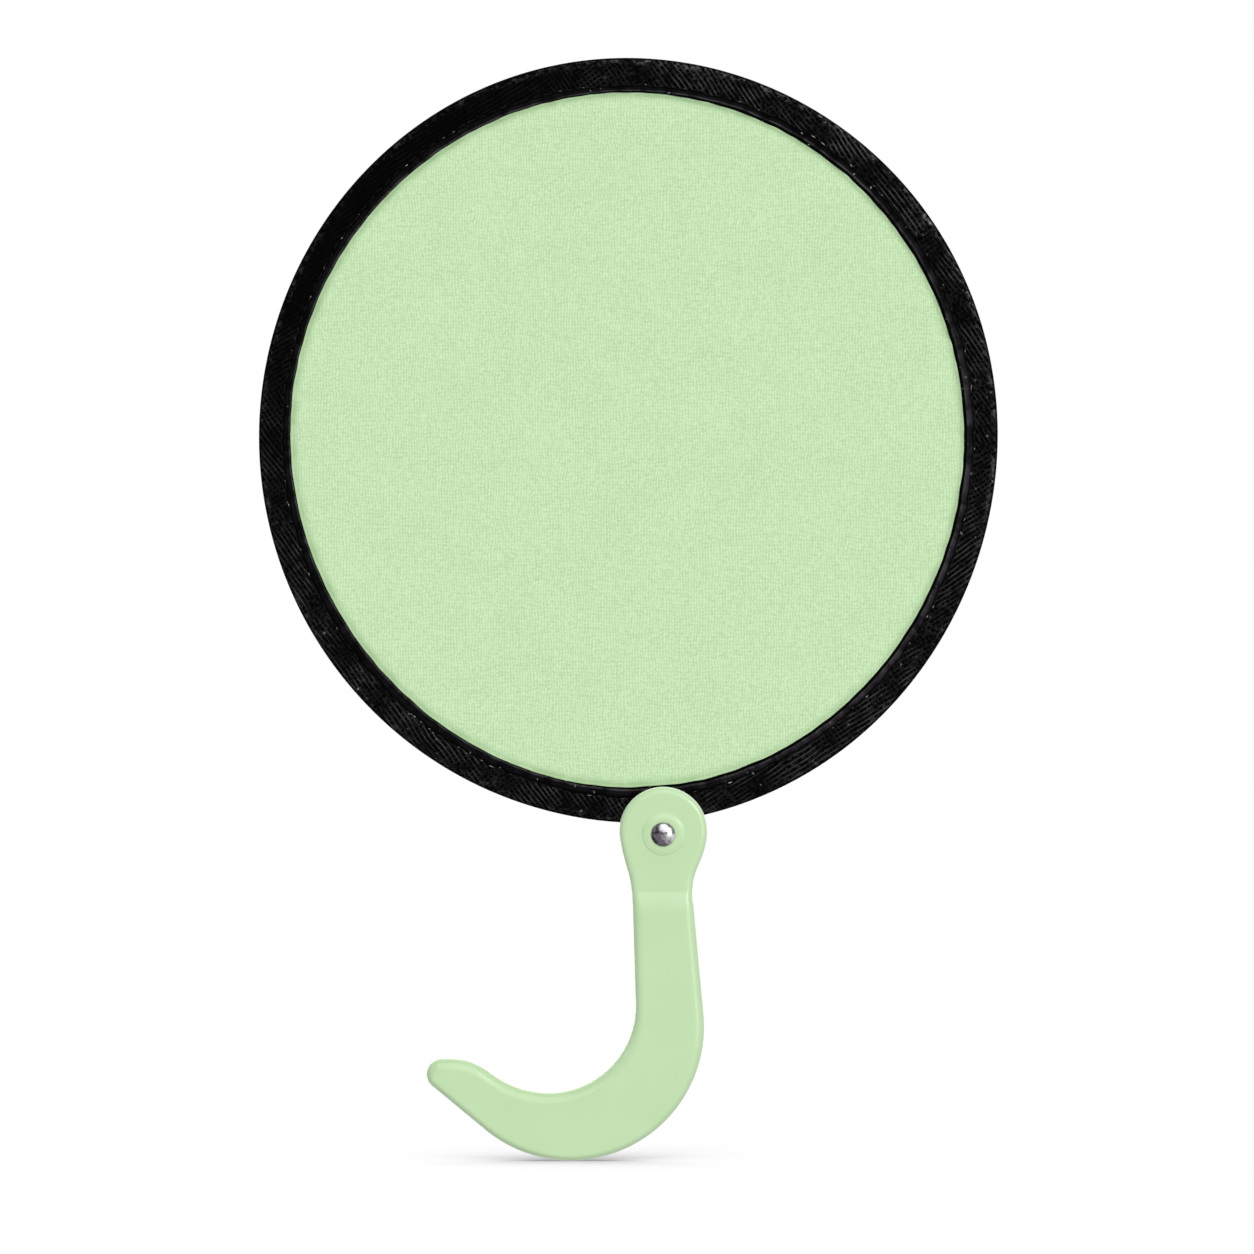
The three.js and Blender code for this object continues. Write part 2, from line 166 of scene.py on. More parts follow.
# Departure of the sewn disc from a true ellipse: (size, waves round the rim, phase in degrees).
RIM_SWAY = ((0.27 * MM, 2, 34), (0.3 * MM, 3, -84), (0.2 * MM, 4, 128))
EDGE_SWAY = ((0.26 * MM, 1, -159), (0.13 * MM, 2, 92), (0.48 * MM, 3, -74), (0.19 * MM, 4, 82))
RIVET_BULGE = 0.7 * MM  # how far the clip pulls the rim out at the rivet
RIVET_BULGE_ANGLE = math.radians(14)
SWAY_STILL = math.radians(8)  # angle round the rivet where the hoop lies true
LUG_TUCK = 0.35 * MM  # how far the binding's edge shows above the lug
LUG_TUCK_ANGLE = math.radians(4)

# Tape section: half depths of the folded tape, front and back alike.
CROWN_INSET = 1.4 * MM
CROWN_DEPTH = 1.8 * MM
SEAM_DEPTH = 0.75 * MM  # at the stitches and from there to the inner edge
FOLD_RADIUS = 0.28 * MM
FOLD_ANGLES = (75, -60)
GROOVE_DEPTH = 0.3 * MM
GROOVE_WIDTH = 0.45 * MM
PUCKER = 0.09 * MM
SEAM_WANDER = 0.15 * MM
TOP_SEAM = 1.1 * MM  # how much nearer the inner edge the seam lies at the top
TOP_SEAM_ANGLE = math.radians(24)
CASING_LUMPS = 0.1 * MM
FLANGE_LUMPS = 0.1 * MM
EDGE_LUMPS = 0.05 * MM
TAPE_OVERLAP_END = math.radians(174.5)
TAPE_OVERLAP_LENGTH = math.radians(9)
TAPE_OVERLAP_RISE = 0.22 * MM
CASING_ROWS = 15
FLANGE_ROWS = 11
FOLD_ROWS = 8
CROWN_ROWS = 15

# Cloth near the seam. Insets are from the binding's inner edge.
CLIMB = 0.3 * MM  # rise to the binding
CLIMB_REACH = 0.6 * MM
CREASE = 0.09 * MM
CREASE_INSET = 1.5 * MM
CREASE_REACH = 1 * MM
SEAM_PULL = 0.05 * MM
STITCH_PULL = 0.03 * MM
PULL_REACH = 3 * MM
SLACK = 0.1 * MM
SLACK_INSET = 14 * MM
SLACK_REACH = 10 * MM
SEAM_RINGS = (*np.linspace(0, 2, 9), 2.3, 2.7, 3.2, 4, 5, 6.5, 8, 10, 12.5, 15, 18, 22, 27)  # millimetres
OPEN_RINGS = np.linspace(32, 110, 24)
DISC_COLUMNS = 720

# Stitches.
STITCH_PITCH = 3.9 * MM
STITCH_LENGTH = 0.75  # share of the pitch
STITCH_SLANT = 0.25 * MM
STITCH_LIFT = (0.16 * MM, 0.3 * MM)
STITCH_SPREAD = (0.9, 1.1)  # shortest and longest stitch, as shares of the usual one
THREAD_RADIUS = 0.17 * MM
THREAD_END = 0.35  # share of its thickness where it goes into the tape
THREAD_SIDES = 6
THREAD_RINGS = 7
STEPS_PER_STITCH = 8  # columns of the tape

# Light.
TOWARDS_FILL = Vector((0.25, -0.97, 0)).normalized()
SKY_LOW = 0.14
SKY_HIGH = 0.25
FLOOR_GLOW = 0.46  # light that comes back up from the floor
FLOOR_REACH = 6
HORIZON = 0.02  # half the height over which the floor's light fades into the sky's
BACKDROP = (-0.1, 0.3)  # how far back a reflection has to look to see none and all of the white
CONTACT_REACH = 100 * MM  # how near a piece has to be to shade the floor
CONTACT_LEAN = math.radians(12)  # the shade falls a little to the back
CONTACT_OPEN = (0.36, 0.9)  # open share above the floor where it is darkest, and where it ends
CONTACT_SHADE = 0.35
CONTACT_CLEAR = 0.9  # open share below the floor at which nothing is shaded
# Softboxes: the direction towards each, its strength, and the angle that it fills in degrees.
SOFTBOXES = {
    "key_softbox": ((0.57, -0.71, 0.41), 0.9, 24),
    "low_softbox": ((0.66, -0.74, 0.08), 0.45, 28),
    "front_softbox": ((0.05, -0.77, 0.64), 1.12, 56),
    "side_softbox": ((-0.85, -0.35, 0.4), 0.25, 30),
    "under_softbox": ((-0.55, -0.55, -0.63), 0.27, 80),
    "rear_softbox": ((-0.25, 0.85, 0.46), 2.1, 80),
}


# Colours.
def srgb(red, green, blue):
    """Linear colour of an sRGB colour given from 0 to 255."""
    linear = []
    for level in (red, green, blue):
        share = level / 255
        linear.append(share / 12.92 if share <= 0.04045 else ((share + 0.055) / 1.055) ** 2.4)
    return (*linear, 1)


def darker(colour, share):
    return (*(share * level for level in colour[:3]), 1)


CLOTH_LIGHT = srgb(212, 240, 196)
CLOTH_DARK = srgb(186, 216, 169)
# painted shade next to the binding
CLOTH_SEAM_SHADE = srgb(163, 195, 147)
PLASTIC_LIGHT = srgb(197, 226, 180)
PLASTIC_DARK = srgb(192, 222, 174)
# painted highlight along the lug's edge
PLASTIC_RIM_HIGHLIGHT = srgb(240, 251, 232)
TAPE_DARK = srgb(4, 4, 4)
TAPE_LIGHT = srgb(100, 99, 100)
# painted highlight on the outer fold
TAPE_FOLD_HIGHLIGHT = srgb(150, 149, 150)
# painted sheen on the flange
TAPE_FLANGE_SHEEN = srgb(58, 55, 61)
# painted highlight along the tape's inner edge
TAPE_EDGE_HIGHLIGHT = srgb(66, 64, 65)
TAPE_SPECK = srgb(140, 139, 134)
THREAD_DARK = srgb(9, 9, 9)
# painted glints on the thread
THREAD_GLINT = srgb(175, 173, 166)
STEEL_COLOUR = srgb(205, 205, 208)
# painted shade on the rivet's dome
STEEL_SHADED = srgb(92, 86, 94)
STEEL_DEEP_SHADE = srgb(30, 29, 27)
ZINC_COLOUR = srgb(170, 174, 178)
SPRING_COLOUR = srgb(120, 124, 128)
NYLON_COLOUR = srgb(232, 229, 220)
WHITE = (1, 1, 1, 1)


# Node helpers.
def put(tree, kind, inputs=None, **settings):
    """New shader node with its settings. Inputs are values or the sockets that feed them."""
    made = tree.nodes.new("ShaderNode" + kind)
    for key, value in settings.items():
        setattr(made, key, value)
    for socket, value in (inputs or {}).items():
        if isinstance(value, bpy.types.NodeSocket):
            tree.links.new(value, made.inputs[socket])
        else:
            made.inputs[socket].default_value = value
    return made


def calc(operation, *values):
    """Output of a Math node on sockets and numbers, in the tree of its first socket."""
    sockets = [value for value in values if isinstance(value, bpy.types.NodeSocket)]
    return put(sockets[0].id_data, "Math", dict(enumerate(values)), operation=operation).outputs[0]


def times(first, *others):
    """Product of two or more values."""
    for other in others:
        first = calc("MULTIPLY", first, other)
    return first


def vector_calc(operation, first, second, output=0):
    """Output of a Vector Math node on a socket and a vector."""
    return put(first.id_data, "VectorMath", {0: first, 1: second}, operation=operation).outputs[output]


def parts_of(vector):
    """Sockets X, Y and Z of a vector, by name."""
    return put(vector.id_data, "SeparateXYZ", {0: vector}).outputs


def spread(value, low, high, to_low, to_high):
    """Value moved from one range to another, and held inside it."""
    ranges = {"Value": value, "From Min": low, "From Max": high, "To Min": to_low, "To Max": to_high}
    return put(value.id_data, "MapRange", ranges).outputs["Result"]


def wave(turns):
    """Cosine of a number of turns."""
    return calc("COSINE", times(turns, FULL_TURN))


def blend_colour(share, first, second):
    """Colour between two others. The Mix node's colours are its inputs 6 and 7."""
    return put(share.id_data, "Mix", {0: share, 6: first, 7: second}, data_type="RGBA").outputs[2]


def noise(place, scale, detail=2.0, roughness=0.5):
    inputs = {"Vector": place, "Scale": scale, "Detail": detail, "Roughness": roughness}
    return put(place.id_data, "TexNoise", inputs).outputs["Fac"]


def feed(shader, socket, source):
    shader.id_data.links.new(source, shader.inputs[socket])


def bump(shader, height, distance, strength=1.0):
    made = put(height.id_data, "Bump", {"Height": height, "Distance": distance, "Strength": strength})
    feed(shader, "Normal", made.outputs["Normal"])


def material_with(name, values):
    """Material, its shader with uniform values on its sockets, and the place on the object."""
    made = bpy.data.materials.new(name)
    made.use_nodes = True
    shader = made.node_tree.nodes["Principled BSDF"]
    for socket, value in values.items():
        shader.inputs[socket].default_value = value
    return made, shader, put(made.node_tree, "TexCoord").outputs["Object"]


def surface_distance(shader):
    """Second value of the UV map, a distance on the piece's surface in metres."""
    return parts_of(put(shader.id_data, "UVMap").outputs["UV"])["Y"]


# Materials.
def mint_plastic():
    """Slightly cloudy plastic, with a painted pale highlight along the lug's edge. The UV map holds the
    distance from the edge.
    """
    made, shader, place = material_with("mint_plastic", {"IOR": 1.47})
    cloud = noise(place, 45, 3)
    colour = blend_colour(spread(cloud, 0.3, 0.7, 0, 1), PLASTIC_DARK, PLASTIC_LIGHT)
    from_edge = surface_distance(shader)
    on_lug = spread(parts_of(place)["Z"], PIVOT.z - 4 * MM, PIVOT.z + 2 * MM, 0, 1)
    # Painted highlight: a pale rim along the lug's edge.
    rim_highlight = times(spread(from_edge, 0.15 * MM, 0.45 * MM, 1, 0), on_lug)
    feed(shader, "Base Color", blend_colour(rim_highlight, colour, PLASTIC_RIM_HIGHLIGHT))
    haze = noise(place, 260, 4, 0.6)
    feed(shader, "Roughness", spread(haze, 0.3, 0.7, 0.2, 0.27))
    bump(shader, noise(place, 420), 0.004 * MM)
    return made


def woven_cloth():
    """Plain weave: upright threads that show most, cross threads between them, both a little uneven.

    The UV map holds the length along the seam and the distance from it, because painted shade darkens the
    cloth near the seam.
    """
    warp_pitch, weft_pitch = 0.945 * MM, 1.2 * MM
    values = {"Roughness": 0.85, "Specular IOR Level": 0.12, "Sheen Weight": 0.08, "Sheen Roughness": 0.4}
    made, shader, place = material_with("mint_weave", values)
    axes = parts_of(place)
    drift = times(noise(place, 110), 3)
    jitter = times(noise(place, 800, 1), 0.9)
    across = calc("MULTIPLY_ADD", axes["X"], 1 / warp_pitch, drift)
    along = calc("MULTIPLY_ADD", axes["Z"], 1 / weft_pitch, calc("ADD", drift, jitter))
    warp, weft = wave(across), wave(along)
    lines = calc("MULTIPLY_ADD", warp, 0.28, times(weft, 0.14))
    height = calc("MULTIPLY_ADD", times(warp, weft), 0.28, lines)
    grain = spread(noise(place, 1100, 2, 0.6), 0.25, 0.75, -0.45, 0.45)
    mottle = spread(noise(place, 60, 3), 0.3, 0.7, -0.06, 0.06)
    uneven = calc("ADD", grain, mottle)
    shade = spread(calc("ADD", height, uneven), -0.5, 0.5, 0, 1)
    colour = blend_colour(shade, CLOTH_DARK, CLOTH_LIGHT)
    from_seam = surface_distance(shader)
    # Painted shade: the cloth darkens towards the seam, in patches, and more towards the left.
    seam_shade = calc("POWER", spread(from_seam, 4.4 * MM, 0.9 * MM, 0, 1), 3)
    seam_shade = times(seam_shade, spread(from_seam, 0.5 * MM, 0.9 * MM, 0.75, 1))
    patchy = spread(noise(place, 130), 0.35, 0.65, 0.6, 1.15)
    shade_by_side = spread(axes["X"], -20 * MM, 60 * MM, 1, 0.65)
    painted_seam_shade = times(seam_shade, patchy, shade_by_side)
    feed(shader, "Base Color", blend_colour(painted_seam_shade, colour, CLOTH_SEAM_SHADE))
    bump(shader, height, 0.05 * MM, 0.6)
    return made


def black_tape():
    """Bias tape: slanting threads and mottling, a painted highlight on the outer fold, a painted sheen on the
    flange, and lint.

    The UV map holds the length along the tape and the distance from the outer edge. The threads, mottling
    and lint carry painted light: most at the top right and least at the top left.
    """
    pitch = 1.45 * MM
    made, shader, place = material_with("black_bias_tape", {"Specular IOR Level": 0.005})
    from_middle = vector_calc("SUBTRACT", place, on_fan(0, RIVET_TO_RIM + RIM_HALF_HEIGHT, 0))
    axes = parts_of(vector_calc("MULTIPLY", from_middle, (1 / RIM_HALF_WIDTH,) * 3))
    right, up = axes["X"], axes["Z"]
    inset = surface_distance(shader)
    diagonal = times(right, up)
    # Painted sheen: each slant of thread shows most in the sectors where it would catch the light.
    sheen_sectors = (spread(diagonal, -0.3, 0, 0.2, 1), spread(diagonal, 0.1, -0.25, 0.2, 1))
    # Painted light: brightest at the top right, darkest at the top left.
    off_left = spread(calc("SUBTRACT", up, right), 0.5, 1.25, 1, 0.06)
    painted_light = times(off_left, spread(up, 0.3, 0.95, 0.5, 1))
    drift = times(noise(place, 45), 2)
    breaks = spread(noise(place, 260), 0.35, 0.6, 0.15, 1)

    shown, relief = [], []
    for slant, scale, sector in zip((-54, 32), (70, 85), sheen_sectors):
        across = heading(slant + 90) * RIM_HALF_WIDTH / pitch
        turns = calc("MULTIPLY_ADD", right, across[0], calc("MULTIPLY_ADD", up, across[1], drift))
        thread = wave(turns)
        patches = spread(noise(place, scale, 3), 0.4, 0.6, 0.1, 1)
        relief.append(thread)
        shown.append(times(spread(thread, 0.55, 1, 0, 1), sector, patches))
    threads = times(calc("MAXIMUM", *shown), breaks)
    blotches = spread(noise(place, 60), 0.45, 0.62, 0.3, 1)
    mottle = times(spread(noise(place, 800, 2, 0.6), 0.5, 0.75, 0, 0.5), blotches)
    texture = times(calc("MAXIMUM", threads, mottle), painted_light)
    woven = blend_colour(texture, TAPE_DARK, TAPE_LIGHT)

    # Painted highlight on the outer fold, in dapples and patches, strongest towards the top right.
    fold = times(spread(inset, 0.65 * MM, 0.9 * MM, 0, 1), spread(inset, 1.1 * MM, 2.6 * MM, 1, 0))
    dapples = spread(noise(place, 760, 2, 0.6), 0.48, 0.72, 0, 1)
    highlight_patches = spread(noise(place, 85), 0.42, 0.6, 0.15, 1)
    towards_light = spread(calc("ADD", right, up), 0.6, 1.4, 0.15, 1)
    fold_highlit = blend_colour(times(fold, dapples, highlight_patches, towards_light), woven, TAPE_FOLD_HIGHLIGHT)

    wander = calc("MULTIPLY_ADD", noise(place, 300, 1), 1.4 * MM, inset)
    seam = STITCH_INSET + 0.7 * MM
    on_flange = spread(wander, seam, seam + 0.4 * MM, 0, 1)
    # Painted sheen on the flange, brightest on the lower right and fading away from the inner edge. It is
    # left out on a strip next to the inner edge, which reads as a painted shadow gap.
    from_edge = calc("SUBTRACT", BINDING_WIDTH, inset)
    lip = spread(right, -0.3, 0.3, 0.45 * MM, 1.15 * MM)
    past_lip = calc("SUBTRACT", from_edge, lip)
    creased = spread(noise(place, 220), 0.38, 0.62, 0.2, 1)
    low_right = calc("MULTIPLY_ADD", up, -0.35, right)
    lit_side = spread(low_right, 0.45, 1.05, 0.15, 1)
    near_edge = spread(from_edge, 2 * MM, 2.8 * MM, 1, 0.1)
    sheen = times(creased, lit_side, near_edge, spread(past_lip, 0, 0.3 * MM, 0, 1))
    flange_sheen = blend_colour(sheen, TAPE_DARK, TAPE_FLANGE_SHEEN)
    sewn = blend_colour(on_flange, fold_highlit, flange_sheen)
    # Painted highlight: a pale line along the tape's folded inner edge.
    line = spread(calc("ABSOLUTE", past_lip), 0.12 * MM, 0.4 * MM, 1, 0)
    edge_highlighted = blend_colour(times(line, creased), sewn, TAPE_EDGE_HIGHLIGHT)
    # Pale lint specks, painted brighter where the painted light is strongest.
    specks = times(spread(noise(place, 800, 0), 0.82, 0.86, 0, 1), painted_light)
    feed(shader, "Base Color", blend_colour(specks, edge_highlighted, TAPE_SPECK))
    feed(shader, "Roughness", spread(breaks, 0, 1, 0.7, 0.5))
    bump(shader, calc("ADD", *relief), 0.05 * MM, 0.6)
    return made


def sewing_thread():
    """Dark thread with painted glints here and there."""
    values = {"Specular IOR Level": 0.12, "Sheen Weight": 0.02}
    made, shader, place = material_with("black_sewing_thread", values)
    glints = noise(place, 420, 1)
    fibres = noise(place, 2600)
    colour = blend_colour(spread(glints, 0.63, 0.71, 0, 1), THREAD_DARK, THREAD_GLINT)
    feed(shader, "Base Color", colour)
    feed(shader, "Roughness", spread(fibres, 0.3, 0.7, 0.3, 0.5))
    bump(shader, fibres, 0.04 * MM)
    return made


def polished_steel():
    """Scratched dome with painted shade and reflection: bright towards the upper right, dull and dark towards
    the lower left.
    """
    made, shader, place = material_with("polished_steel", {"Metallic": 1.0})
    scratches = noise(vector_calc("MULTIPLY", place, (1, 1, 0.3)), 2200, 3, 0.7)
    stains = noise(place, 700, 3)
    from_axis = vector_calc("SUBTRACT", place, PIVOT)
    # Painted shade and reflection: bright towards the upper right, dull and darkest at the lower left rim.
    # Stains make the border uneven.
    towards_upper_right = vector_calc("DOT_PRODUCT", from_axis, (0.8, 0, 0.6), "Value")
    height = calc("MULTIPLY_ADD", towards_upper_right, 1 / RIVET_HEAD_RADIUS, stains)
    low = blend_colour(spread(height, -0.4, -0.15, 0, 1), STEEL_DEEP_SHADE, STEEL_SHADED)
    colour = blend_colour(spread(height, 0.22, 0.92, 0, 1), low, STEEL_COLOUR)
    feed(shader, "Base Color", colour)
    feed(shader, "Roughness", spread(scratches, 0.3, 0.75, 0.12, 0.28))
    bump(shader, calc("ADD", scratches, stains), 0.02 * MM)
    return made


def plated_steel(name, colour, rough):
    made, shader, place = material_with(name, {"Metallic": 1.0})
    grain = noise(place, 1400, 4, 0.6)
    dark = darker(colour, 0.8)
    feed(shader, "Base Color", blend_colour(grain, dark, colour))
    feed(shader, "Roughness", spread(grain, 0.3, 0.7, rough, rough + 0.15))
    bump(shader, grain, 0.01 * MM)
    return made


def natural_nylon():
    made, shader, place = material_with("natural_nylon", {"IOR": 1.53, "Subsurface Weight": 0.1})
    cloud = noise(place, 300, 3)
    dark = darker(NYLON_COLOUR, 0.9)
    feed(shader, "Base Color", blend_colour(cloud, dark, NYLON_COLOUR))
    feed(shader, "Roughness", spread(cloud, 0.3, 0.7, 0.4, 0.55))
    return made


# Mesh helpers.
def mesh_object(name, points, faces, material, uv=None):
    """Smooth mesh from points and faces. The UV list has one pair for each corner of each face."""
    mesh = bpy.data.meshes.new(name)
    mesh.from_pydata([tuple(point) for point in points], [], faces)
    mesh.materials.append(material)
    if uv is not None:
        layer = mesh.uv_layers.new(name="UVMap")
        layer.data.foreach_set("uv", np.asarray(uv, np.float32).ravel())
    mesh.update()
    mesh.shade_smooth()
    made = bpy.data.objects.new(name, mesh)
    scene.collection.objects.link(made)
    return made


def grid_faces(rows, columns, close_rows, close_columns):
    """Quads of a grid of points stored row by row."""
    faces = []
    for row in range(rows if close_rows else rows - 1):
        below = (row + 1) % rows * columns
        for column in range(columns if close_columns else columns - 1):
            after = (column + 1) % columns
            faces.append((row * columns + column, row * columns + after, below + after, below + column))
    return faces


def finished(piece, body, slot, *nodes):
    """Puts a piece on its body in the place of the nodes that it stands for, which it hides. The slot is not
    used.
    """
    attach(piece, body)
    if nodes:
        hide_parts(*nodes)


def heading(degrees):
    return np.array((math.cos(math.radians(degrees)), math.sin(math.radians(degrees))))


def ring_points(radius, count):
    """Points (x, z) on a circle round the rivet's axis."""
    return [RIVET_AXIS + radius * heading(360 * step / count) for step in range(count)]


def turned(name, profile, material, segments=72):
    """Piece turned round the rivet's axis, from (radius, depth) pairs. A radius of 0 ends on the axis."""
    points, rows, faces = [], [], []
    for radius, depth in profile:
        ring = ring_points(radius, segments if radius > 0 else 1)
        rows.append(range(len(points), len(points) + len(ring)))
        points += [(x, depth, z) for x, z in ring]
    for near, far in zip(rows, rows[1:]):
        for step in range(segments):
            after = (step + 1) % segments
            corners = [near[step % len(near)], near[after % len(near)]]
            corners += [far[after % len(far)], far[step % len(far)]]
            faces.append(list(dict.fromkeys(corners)))
    return mesh_object(name, points, faces, material)


def corner(radius, depth, size, start, end, steps=5):
    """Round corner of a turned profile, as (radius, depth) pairs between two angles in degrees."""
    angles = np.radians(np.linspace(start, end, steps + 1))
    return [(radius + size * math.cos(a), depth + size * math.sin(a)) for a in angles]


# Handle.
def arc_points(centre, radius, start, end, count=160):
    return [centre + radius * heading(angle) for angle in np.linspace(start, end, count)]


def sweep_points(start, end, leaving, arriving, count=120):
    """Free curve between two points that leaves and arrives in the given directions."""
    pull = EDGE_PULL * np.linalg.norm(end - start)
    first, second = start + pull * leaving, end - pull * arriving
    share = np.linspace(0, 1, count)[:, None]
    rest = 1 - share
    return list(rest ** 3 * start + 3 * rest ** 2 * share * first
                + 3 * rest * share ** 2 * second + share ** 3 * end)


def evenly_spaced(points, step):
    """Closed line through the points, with corners at equal distances."""
    line = np.array(points + points[:1])
    lengths = np.concatenate(([0], np.cumsum(np.linalg.norm(np.diff(line, axis=0), axis=1))))
    places = np.linspace(0, lengths[-1], round(lengths[-1] / step), endpoint=False)
    return np.stack([np.interp(places, lengths, line[:, axis]) for axis in (0, 1)], axis=1)


def handle_outline():
    """Front view of the handle as points (x, z), clockwise from the inner side of the lug."""
    down = heading(-90)
    lug = np.array((0, PIVOT.z + LUG_RISE))
    waist = np.array((WAIST_REACH, PIVOT.z - WAIST_DROP))
    grip_top = waist[1] - WAIST_RUN
    inner_bend = np.array((-GRIP_INNER_REACH - HOOK_INNER_RADIUS, -HOOK_DROP))
    outer_bend = inner_bend + HOOK_SWELL * heading(HOOK_SWELL_ANGLE)
    outer_radius = GRIP_OUTER_REACH - outer_bend[0]
    outer_up, inner_up = heading(OUTER_LEAN + 90), heading(INNER_LEAN + 90)
    outer_start = outer_bend + outer_radius * heading(OUTER_LEAN)
    outer_top = outer_start + outer_up * (grip_top - outer_start[1]) / outer_up[1]
    underside_start = outer_bend + outer_radius * heading(HOOK_OUTER_END)
    underside_end = underside_start + UNDERSIDE_LENGTH * heading(HOOK_OUTER_END - 90)
    tip = underside_end - TIP_RADIUS * heading(HOOK_OUTER_END)
    upper_start = tip + TIP_RADIUS * heading(TIP_END)
    upper_end = inner_bend + HOOK_INNER_RADIUS * heading(HOOK_INNER_END)
    inner_end = inner_bend + HOOK_INNER_RADIUS * heading(INNER_LEAN)
    inner_top = inner_end + inner_up * (grip_top - inner_end[1]) / inner_up[1]
    lug_inner = lug + LUG_RADIUS * heading(LUG_INNER_JOIN)
    lug_outer = lug + LUG_RADIUS * heading(LUG_OUTER_JOIN)

    points = arc_points(lug, LUG_RADIUS, LUG_INNER_JOIN, LUG_OUTER_JOIN)
    points += sweep_points(lug_outer, waist, heading(LUG_OUTER_JOIN - 90), down)
    points += sweep_points(waist, outer_top, down, heading(OUTER_LEAN - 90))
    points += arc_points(outer_bend, outer_radius, OUTER_LEAN, HOOK_OUTER_END)
    points += arc_points(tip, TIP_RADIUS, HOOK_OUTER_END + 360, TIP_END)
    points += sweep_points(upper_start, upper_end, heading(TIP_END - 90), heading(HOOK_INNER_END + 90))
    points += arc_points(inner_bend, HOOK_INNER_RADIUS, HOOK_INNER_END, INNER_LEAN)
    points += sweep_points(inner_top, lug_inner, inner_up, heading(LUG_INNER_JOIN - 90))
    return evenly_spaced(points, OUTLINE_STEP)


def soft_ramp(distance, rounding):
    """0 before 0 and the distance after it, with the corner rounded over a length."""
    inside = np.clip(distance + rounding, 0, 2 * rounding)
    return np.where(distance > rounding, distance, inside ** 2 / (4 * rounding))


def face_depth(height):
    """Depth of the handle's front face at a height: the lug's face, the ramp and the grip's face."""
    down_ramp = soft_ramp(CREASE_LEVEL - height, CREASE_ROUND)
    left = 1 - np.clip(down_ramp / RAMP_LENGTH, 0, 1)
    return GRIP_FRONT + LUG_STEP * left ** 2


def eased(value, start, end):
    """0 at the start and 1 at the end, with a smooth way between."""
    share = np.clip((value - start) / (end - start), 0, 1)
    return share ** 2 * (3 - 2 * share)


def front_fillet(height):
    """Reach and depth of the front edge's rounding at a height: the hook's edge is the roundest."""
    to_grip = eased(height, CREASE_LEVEL, CREASE_LEVEL - RAMP_LENGTH)
    to_hook = eased(height, HOOK_FILLET_START, HOOK_FILLET_END)
    return [lug + (grip - lug) * to_grip + (hook - grip) * to_hook
            for lug, grip, hook in zip(LUG_FILLET, GRIP_FILLET, HOOK_FILLET)]


def from_rivet(places):
    """Distances of points (x, z) from the rivet's axis."""
    return np.hypot(*(places - RIVET_AXIS).T)


def boss_rise(places):
    """How far the boss lifts the lug's face at points (x, z): a sloping shoulder with a hollow foot."""
    reach = from_rivet(places)
    shoulder = np.clip((reach - BOSS_TOP_RADIUS) / (BOSS_EDGE_RADIUS - BOSS_TOP_RADIUS), 0, 1)
    foot = np.clip((BOSS_FOOT_RADIUS - reach) / (BOSS_FOOT_RADIUS - BOSS_EDGE_RADIUS), 0, 1)
    return (BOSS_HEIGHT - BOSS_EDGE_HEIGHT) * (1 - shoulder ** 1.6) + BOSS_EDGE_HEIGHT * foot ** 2


def filled_face(ring, inner_points):
    """Triangles over the inside of a closed ring of points, round the rivet's bore."""
    places = [*ring, *ring_points(BORE_RADIUS, BORE_STEPS), *inner_points]
    count = len(ring)
    edges = [(i, (i + 1) % count) for i in range(count)]
    edges += [(count + i, count + (i + 1) % BORE_STEPS) for i in range(BORE_STEPS)]
    made = delaunay_2d_cdt([Vector(place) for place in places], edges, [], 1, 1e-9)
    points, triangles = np.array([tuple(point) for point in made[0]]), np.array(made[2])
    over_bore = from_rivet(points[triangles].mean(axis=1)) < 0.98 * BORE_RADIUS
    return points, triangles[~over_bore]


def inside_points(ring, spacing):
    """Grid points well inside a closed ring, with rows close together along the ramp."""
    low, high = ring.min(axis=0), ring.max(axis=0)
    ramp_end, ramp_start = CREASE_LEVEL - RAMP_LENGTH, CREASE_LEVEL + CREASE_ROUND
    rows = list(np.arange(low[1], ramp_end, spacing))
    rows += list(ramp_end + (ramp_start - ramp_end) * (1 - np.linspace(1, 0, RAMP_ROWS) ** 2))
    rows += list(np.arange(ramp_start + spacing, high[1], spacing))
    points = []
    starts, ends = ring, np.roll(ring, -1, axis=0)
    for row in rows:
        crossing = (starts[:, 1] > row) != (ends[:, 1] > row)
        share = (row - starts[crossing, 1]) / (ends[crossing, 1] - starts[crossing, 1])
        cuts = np.sort(starts[crossing, 0] + share * (ends[crossing, 0] - starts[crossing, 0]))
        for left, right in zip(cuts[::2], cuts[1::2]):
            count = int((right - left) / spacing)
            points += [(x, row) for x in np.linspace(left, right, count + 2)[1:-1]]
    points = np.array(points)
    return list(points[from_rivet(points) > BOSS_FOOT_RADIUS + spacing / 2])


def boss_points():
    """Rings of points over the boss and its foot."""
    reaches = [BOSS_INNER_RADIUS, *np.linspace(BOSS_TOP_RADIUS, BOSS_EDGE_RADIUS, SHOULDER_RINGS)]
    reaches += list(np.linspace(BOSS_EDGE_RADIUS, BOSS_FOOT_RADIUS, FOOT_RINGS)[1:])
    return [place for reach in reaches for place in ring_points(reach, BOSS_STEPS)]


